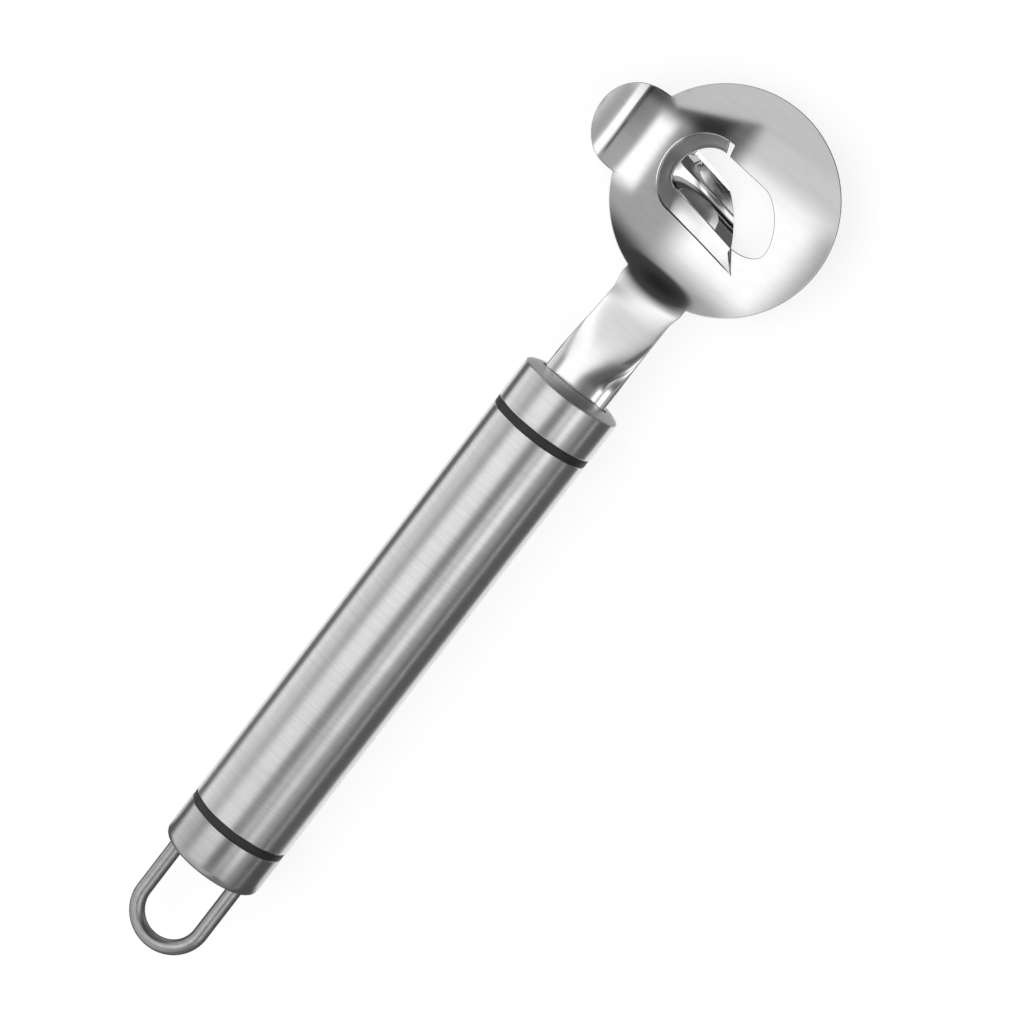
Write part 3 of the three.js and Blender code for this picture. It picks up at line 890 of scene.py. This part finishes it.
def thickened(name, sheet):
    """A closed solid under a sheet, with small rounds along its free edges."""
    points, faces = sheet.points, sheet.faces
    count = len(points)
    normals = face_normals(points, faces)
    outward = {}
    edges = boundary(faces)
    for a, b in edges:
        run = points[b] - points[a]
        out = Vector((run.y, -run.x, 0))
        for k in (a, b):
            outward[k] = outward.get(k, Vector((0, 0, 0))) + out.normalized()
    solid = [point.copy() for point in points] + [point - Vector((0, 0, SHEET)) for point in points]
    solid_normals = normals + [-normal for normal in normals]
    upper, lower = {}, {}
    for k, out in outward.items():
        out = out.normalized()
        for made, base, height in ((upper, k, -RIM_ROUND), (lower, k + count, RIM_ROUND)):
            made[k] = len(solid)
            solid.append(solid[base] + Vector((0, 0, height)))
            solid_normals.append(out)
        for base in (k, k + count):
            solid[base] = solid[base] - out * RIM_ROUND
    solid_faces = [list(corners) for corners in faces]
    solid_faces += [[k + count for k in reversed(corners)] for corners in faces]
    for a, b in edges:
        for first, second in (
            ((a, b), (upper[a], upper[b])),
            ((upper[a], upper[b]), (lower[a], lower[b])),
            ((lower[a], lower[b]), (a + count, b + count)),
        ):
            solid_faces.append([first[1], first[0], second[0], second[1]])
    made = new_object(name, [point + DISC for point in solid], solid_faces)
    made.data.shade_smooth()
    made.data.normals_split_custom_set_from_vertices(solid_normals)
    return made


def cutter_head():
    sheet = Sheet()
    angles, slot, rim = bowl_and_tongue(sheet)
    neck(sheet, angles, rim)
    lip(sheet, angles, slot)
    head = thickened("head_pressing", sheet)
    dress(head, "cutter_head", HEAD_STEEL)


def cutting_blade():
    """A trough that rises to the lip at its closed end and is cut along the slit at its open end."""
    along = (HOLE_SLIT - HOLE_SHOULDER).normalized()
    aside = Vector((-along.y, along.x))
    centre = HOLE_SLIT.dot(aside) - BLADE_LAP + BLADE_HALF_WIDTH
    slit_run = SLIT_END - SLIT_START
    rim_height = bowl_height(HOLE_NOTCH.length) - LIP_SINK - SHEET - BLADE_GAP
    full_depth = AXIS_Z + rim_height - BLADE_SHEET - BLADE_BOTTOM
    points, faces = [], []

    def row_points(row, below):
        at_edge = row > BLADE_ROWS
        for column in range(BLADE_COLUMNS + 1):
            angle = math.pi * column / BLADE_COLUMNS
            over = -math.cos(angle)
            s = centre + BLADE_HALF_WIDTH * over
            closed_end = -HOLE_TOP.y - BLADE_LAP + BLADE_HEEL_BOW * (s - centre) ** 2
            cut_end = (SLIT_START - aside * s).cross(slit_run) / along.cross(slit_run)
            length = cut_end - closed_end - BLADE_TRIM
            t = length if at_edge else (length - BEVEL_LENGTH) * row / BLADE_ROWS
            thick = EDGE_THICKNESS if at_edge else BLADE_SHEET
            spread = centre + (BLADE_HALF_WIDTH + thick) * over if below else s
            levelness = max(0.0, 1 - t / BLADE_RAMP)
            depth = full_depth * (1 - levelness**2) + (thick if below else 0)
            place = along * (closed_end + t) + aside * spread
            height = rim_height - depth * math.sin(angle) ** BLADE_SLACKNESS
            points.append(DISC + Vector((place.x, place.y, height)))

    rows = BLADE_ROWS + 2
    columns = BLADE_COLUMNS + 1
    for below in (False, True):
        for row in range(rows):
            row_points(row, below)
    under = rows * columns
    for row in range(rows - 1):
        for column in range(columns - 1):
            a = row * columns + column
            quad = [a, a + 1, a + columns + 1, a + columns]
            faces.append(quad)
            faces.append([k + under for k in reversed(quad)])
    rim = list(range(columns))
    rim += [row * columns + columns - 1 for row in range(1, rows)]
    rim += [(rows - 1) * columns + column for column in range(columns - 2, -1, -1)]
    rim += [row * columns for row in range(rows - 2, 0, -1)]
    for a, b in zip(rim, [*rim[1:], rim[0]]):
        faces.append([b, a, a + under, b + under])
    blade = new_object("blade_gouge", points, faces)
    face_outwards(blade)
    smooth(blade, BLADE_CREASE)
    dress(blade, "cutting_blade", BLADE_STEEL)


def inner_pieces():
    """Pieces hidden in the handle keep their frame shape."""
    for material, nodes in (
        (CORE_PLASTIC, ("front_core", "rear_core")),
        (PIN_STEEL, ("tang_pin_front", "tang_pin_rear", "loop_retainer_left", "loop_retainer_right")),
    ):
        for node in nodes:
            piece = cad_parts[node]
            piece.data.materials.clear()
            piece.data.materials.append(material)


# Studio

VIEW_TILT = math.radians(11)
VIEW_ROLL = math.radians(6)
VIEW_SPIN = math.radians(52.38)
VIEW_DISTANCE = 1.0
VIEW_TARGET = Vector((0.00951, -0.00841, AXIS_Z))
VIEW_REACH = 50
LENS_MM = 179.4
SENSOR_MM = 36.0
FLOOR_HALF = 6.0
FLOOR_GREY = 0.45
FLOOR_GLOW = 0.78


def camera():
    """Looks down on the tool from above its head, with the handle running up to the right."""
    forward = Vector((
        -math.sin(VIEW_TILT) * math.cos(VIEW_ROLL),
        math.sin(VIEW_ROLL),
        -math.cos(VIEW_TILT) * math.cos(VIEW_ROLL),
    ))
    along = Vector((1, 0, 0))
    along = (along - forward * forward.dot(along)).normalized()
    other = forward.cross(along)
    right = along * math.cos(VIEW_SPIN) + other * math.sin(VIEW_SPIN)
    up = right.cross(forward)
    data = bpy.data.cameras.new("camera")
    data.lens = LENS_MM
    data.sensor_width = SENSOR_MM
    data.clip_end = VIEW_REACH
    made = bpy.data.objects.new("camera", data)
    bpy.context.scene.collection.objects.link(made)
    turn = Matrix((right, up, -forward)).transposed()
    made.matrix_world = Matrix.Translation(VIEW_TARGET - forward * VIEW_DISTANCE) @ turn.to_4x4()
    bpy.context.scene.camera = made


def flat_sheet(name, left, right, near, far, height):
    corners = ((left, near), (right, near), (right, far), (left, far))
    return new_object(name, [(x, y, height) for x, y in corners], [[0, 1, 2, 3]])


def floor():
    """A pale floor that reads as white and keeps the tool's shadow."""
    ground = flat_sheet("floor", -FLOOR_HALF, FLOOR_HALF, -FLOOR_HALF, FLOOR_HALF, 0)
    material, tree, shader = new_material("floor")
    tree.nodes.remove(shader)
    diffuse = add_node(tree, "ShaderNodeBsdfDiffuse")
    diffuse.inputs["Color"].default_value = (FLOOR_GREY, FLOOR_GREY, FLOOR_GREY, 1)
    glow = add_node(tree, "ShaderNodeEmission")
    path = add_node(tree, "ShaderNodeLightPath")
    seen = add_node(tree, "ShaderNodeMath", operation="MAXIMUM")
    shown = add_node(tree, "ShaderNodeMath", operation="MAXIMUM")
    level = add_node(tree, "ShaderNodeMath", operation="MULTIPLY")
    level.inputs[1].default_value = FLOOR_GLOW
    both = add_node(tree, "ShaderNodeAddShader")
    tree.links.new(path.outputs["Is Camera Ray"], seen.inputs[0])
    tree.links.new(path.outputs["Is Glossy Ray"], seen.inputs[1])
    tree.links.new(seen.outputs[0], shown.inputs[0])
    tree.links.new(path.outputs["Is Transmission Ray"], shown.inputs[1])
    tree.links.new(shown.outputs[0], level.inputs[0])
    tree.links.new(level.outputs[0], glow.inputs["Strength"])
    tree.links.new(diffuse.outputs[0], both.inputs[0])
    tree.links.new(glow.outputs[0], both.inputs[1])
    tree.links.new(both.outputs[0], tree.nodes["Material Output"].inputs["Surface"])
    ground.data.materials.append(material)


# Soft boxes and dark flags round the tool, as seen from it, in degrees. Across is the angle from the view's
# upright towards -Y, along is the angle towards the tail. Each has a middle, a half width and a soft edge.
# Lean and slope slant its edges.
AMBIENT = 0.44
SOFT_BOXES = (
    {"across": (-27, 21.5, 16), "along": (-1, 21, 14), "level": 0.82},
    {"across": (-34, 30, 16), "along": (28, 10, 8), "level": 0.28},
    {"across": (22.5, 4.5, 4), "along": (3, 14, 7), "lean": -0.05, "level": 0.9},
    {"across": (41, 8, 11), "along": (2, 22, 6), "level": 1.1},
    {"across": (-105, 35, 20), "along": (0, 80, 20), "level": 0.35},
)
FLAGS = (
    {"across": (4, 11, 8), "along": (31, 24, 20), "level": 0.7},
    {"across": (0, 36, 14), "along": (-56.5, 30, 8), "slope": -0.25, "level": 0.88},
    {"across": (0, 200, 10), "along": (-75, 35, 10), "level": 0.85},
    {"across": (14, 12, 6), "along": (55, 35, 5), "level": 0.75},
    {"across": (42, 16, 6), "along": (57, 32, 6), "level": 0.8},
    {"across": (6, 5, 4), "along": (1, 7, 4), "level": 0.6},
    {"across": (97, 26, 24), "along": (0, 90, 10), "level": 0.85},
)
BACKDROP = {"edge": 36.5, "soft": 2.5, "knee": -6, "lean": 0.47, "top": (-60, 87, 6), "level": 0.66}

# Painted shade for the steel's reflections: dark cards on the floor that only the reflections show,
# standing for the floor's shade
# round the tool: from and to along X, from and to along Y as seen from the handle's axis, and how bright
# they are
PAINTED_SHADE_HEIGHT = 0.0002
PAINTED_SHADE_CARDS = (
    ((-0.30, 0.30), (0.024, 0.055), 0.12),
    ((-0.30, 0.30), (-0.30, -0.022), 0.12),
    ((-0.30, -0.087), (-0.022, 0.024), 0.12),
    ((0.037, 0.062), (-0.022, 0.024), 0.42),
    ((0.062, 0.30), (-0.022, 0.024), 0.12),
)


def studio():
    world = bpy.data.worlds.new("studio")
    bpy.context.scene.world = world
    world.use_nodes = True
    tree = world.node_tree
    background = tree.nodes["Background"]
    background.inputs["Color"].default_value = (1, 1, 1, 1)
    place = add_node(tree, "ShaderNodeTexCoord")
    turn = add_node(tree, "ShaderNodeVectorRotate", rotation_type="X_AXIS")
    turn.inputs["Angle"].default_value = -VIEW_ROLL
    parts = add_node(tree, "ShaderNodeSeparateXYZ")
    tree.links.new(place.outputs["Generated"], turn.inputs["Vector"])
    tree.links.new(turn.outputs["Vector"], parts.inputs["Vector"])

    def math_node(operation, first, second=None):
        made = add_node(tree, "ShaderNodeMath", operation=operation)
        for socket, value in zip(made.inputs, (first, second)):
            if isinstance(value, (int, float)):
                socket.default_value = value
            elif value is not None:
                tree.links.new(value, socket)
        return made.outputs[0]

    aside = math_node("MULTIPLY", parts.outputs["Y"], -1.0)
    across = math_node("DEGREES", math_node("ARCTAN2", aside, parts.outputs["Z"]))
    back = math_node("MULTIPLY", parts.outputs["X"], -1.0)
    along = math_node("DEGREES", math_node("ARCSINE", back))

    def window(angle, middle, half, soft):
        away = math_node("ABSOLUTE", math_node("SUBTRACT", angle, float(middle)))
        fade = add_node(tree, "ShaderNodeMapRange", interpolation_type="SMOOTHSTEP")
        fade.inputs["From Min"].default_value = half - soft / 2
        fade.inputs["From Max"].default_value = half + soft / 2
        fade.inputs["To Min"].default_value = 1.0
        fade.inputs["To Max"].default_value = 0.0
        tree.links.new(away, fade.inputs["Value"])
        return fade.outputs["Result"]

    def covered(card):
        """How much of each direction a card takes up, times its level."""
        leant = math_node("ADD", across, math_node("MULTIPLY", along, card.get("lean", 0.0)))
        sloped = math_node("ADD", along, math_node("MULTIPLY", across, card.get("slope", 0.0)))
        mask = math_node("MULTIPLY", window(leant, *card["across"]), window(sloped, *card["along"]))
        return math_node("MULTIPLY", mask, card["level"])

    light = AMBIENT
    for box in SOFT_BOXES:
        light = math_node("ADD", covered(box), light)
    for flag in FLAGS:
        light = math_node("MULTIPLY", light, math_node("SUBTRACT", 1.0, covered(flag)))
    past_knee = math_node("MAXIMUM", math_node("SUBTRACT", across, BACKDROP["knee"]), 0.0)
    reach = math_node("ADD", along, math_node("MULTIPLY", past_knee, BACKDROP["lean"]))
    behind = add_node(tree, "ShaderNodeMapRange", interpolation_type="SMOOTHSTEP")
    behind.inputs["From Min"].default_value = BACKDROP["edge"] - BACKDROP["soft"] / 2
    behind.inputs["From Max"].default_value = BACKDROP["edge"] + BACKDROP["soft"] / 2
    tree.links.new(reach, behind.inputs["Value"])
    mask = math_node("MULTIPLY", behind.outputs["Result"], window(across, *BACKDROP["top"]))
    light = math_node("MULTIPLY", light, math_node("SUBTRACT", 1.0, mask))
    light = math_node("ADD", light, math_node("MULTIPLY", mask, BACKDROP["level"]))
    tree.links.new(light, background.inputs["Strength"])


# Painted shade: dark glowing cards on the floor that only reflections show, so the steel reflects a shaded
# floor round the tool.
def painted_shade_cards():
    for k, (span, sides, level) in enumerate(PAINTED_SHADE_CARDS):
        material, tree, shader = new_material(f"painted_shade_card_{k}")
        tree.nodes.remove(shader)
        glow = add_node(tree, "ShaderNodeEmission")
        glow.inputs["Strength"].default_value = level
        tree.links.new(glow.outputs[0], tree.nodes["Material Output"].inputs["Surface"])
        near, far = (AXIS_Y + y for y in sides)
        shade_card = flat_sheet(f"painted_shade_card_{k}", *span, near, far, PAINTED_SHADE_HEIGHT)
        shade_card.data.materials.append(material)
        shade_card.visible_camera = False
        shade_card.visible_diffuse = False
        shade_card.visible_transmission = False
        shade_card.visible_shadow = False


handle_tube()
ring("front_ring")
ring("rear_ring")
front_cap()
rear_cap()
hanging_loop()
cutter_head()
cutting_blade()
inner_pieces()
camera()
floor()
painted_shade_cards()
studio()
bpy.context.scene.view_settings.view_transform = "Standard"
